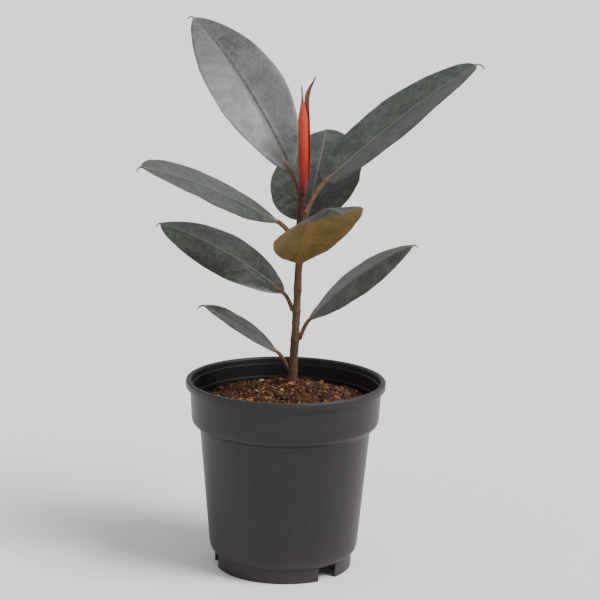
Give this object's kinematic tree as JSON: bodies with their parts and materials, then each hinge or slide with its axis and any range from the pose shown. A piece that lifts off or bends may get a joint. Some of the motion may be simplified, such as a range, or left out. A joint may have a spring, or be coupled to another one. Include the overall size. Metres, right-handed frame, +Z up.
{
  "type": "potted rubber plant",
  "caption": "Young rubber plant with glossy dark leaves on one upright stem, growing in a round tapered nursery pot of soil.",
  "frame": {"origin": "centre of the pot's base, on the surface that it stands on", "axes": "+Z up the pot's axis, +X to the right and +Y away from the viewer in the view that shows the big upper leaf at the left"},
  "size_m": [0.2223, 0.1972, 0.353],
  "materials": {
    "pot_plastic": "charcoal moulded plastic, satin",
    "potting_soil": "loose peat and coir mix, dry crumbs on top",
    "stem_bark": "young brown-green bark",
    "leaf": "thick waxy leaf, grey-green above, ochre below",
    "sheath": "smooth red stipule",
    "dry_scale": "dry papery scale"
  },
  "bodies": {
    "root": {"pot": "pot_plastic", "soil": "potting_soil", "stem": "stem_bark", "leaf_low_left": "leaf", "leaf_low_right": "leaf", "leaf_mid_left": "leaf", "leaf_front": "leaf", "leaf_upper_left": "leaf", "leaf_back": "leaf", "leaf_top_right": "leaf", "leaf_top_left": "leaf", "bud_sheath": "sheath", "dry_stipule": "dry_scale"}
  },
  "joints": []
}
